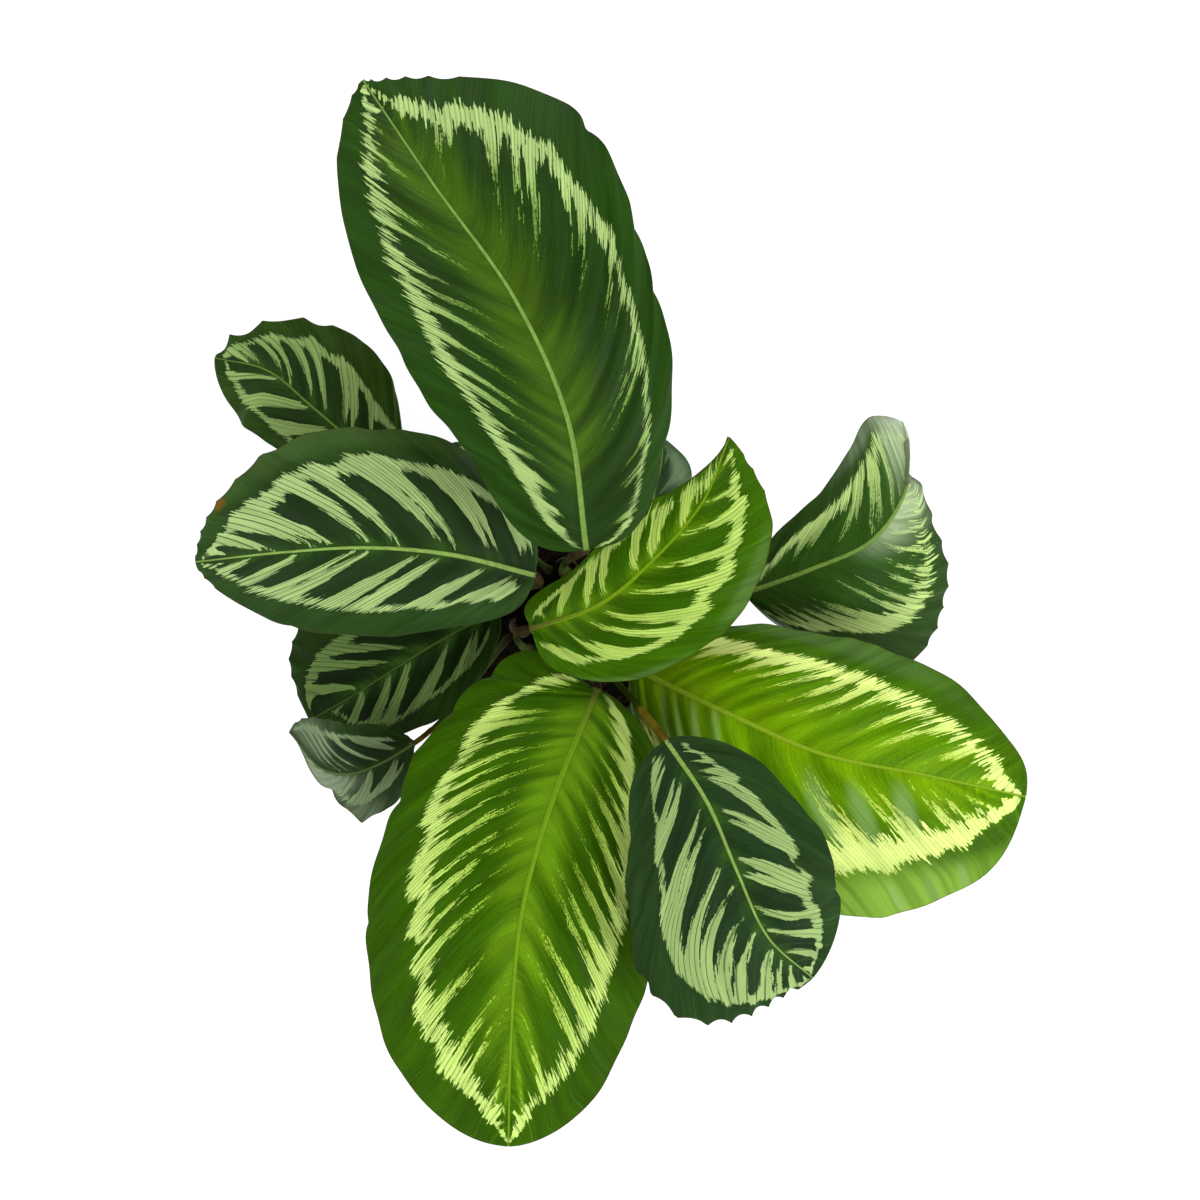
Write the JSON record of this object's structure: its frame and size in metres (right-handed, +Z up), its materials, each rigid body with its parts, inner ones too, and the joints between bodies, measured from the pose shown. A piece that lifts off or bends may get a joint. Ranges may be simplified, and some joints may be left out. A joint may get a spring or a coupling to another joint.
{
  "type": "potted calathea",
  "caption": "Potted prayer-plant with broad striped oval leaves on slim stalks spreading from a crown in soil, in a plain tapered round pot with a rolled rim.",
  "frame": {"origin": "middle of the pot's flat base, on the surface it stands on", "axes": "+Z up; +Y towards the tip of the large back leaf; +X towards the curved right leaf"},
  "size_m": [0.3794, 0.4784, 0.3833],
  "materials": {
    "pot": "moulded dark plastic, satin, with fine scuffs and dried soil dust",
    "soil": "coarse damp potting compost",
    "crown": "rough brown rootstock",
    "leaf_green": "satin leaf, mid green with a pale feathered ring",
    "leaf_dark": "satin leaf, dark bluish green with pale green bars",
    "leaf_bright": "satin young leaf, yellow-green with a lime ring",
    "stalk": "smooth green stalk with a brown joint under the blade",
    "dry_scale": "dry papery leaf sheath"
  },
  "bodies": {
    "root": {"pot": "pot", "soil": "soil", "crown": "crown", "papery_scale_1": "dry_scale", "papery_scale_2": "dry_scale", "papery_scale_3": "dry_scale", "papery_scale_4": "dry_scale", "back_leaf_blade": "leaf_green", "back_leaf_stalk": "stalk", "left_leaf_blade": "leaf_dark", "left_leaf_stalk": "stalk", "back_left_leaf_blade": "leaf_dark", "back_left_leaf_stalk": "stalk", "low_left_leaf_blade": "leaf_dark", "low_left_leaf_stalk": "stalk", "drooping_leaf_blade": "leaf_dark", "drooping_leaf_stalk": "stalk", "front_leaf_blade": "leaf_bright", "front_leaf_stalk": "stalk", "front_right_leaf_blade": "leaf_bright", "front_right_leaf_stalk": "stalk", "upper_front_leaf_blade": "leaf_dark", "upper_front_leaf_stalk": "stalk", "centre_leaf_blade": "leaf_bright", "centre_leaf_stalk": "stalk", "right_leaf_blade": "leaf_dark", "right_leaf_stalk": "stalk", "small_back_leaf_blade": "leaf_dark", "small_back_leaf_stalk": "stalk", "tucked_leaf_blade": "leaf_dark", "tucked_leaf_stalk": "stalk"}
  },
  "joints": []
}
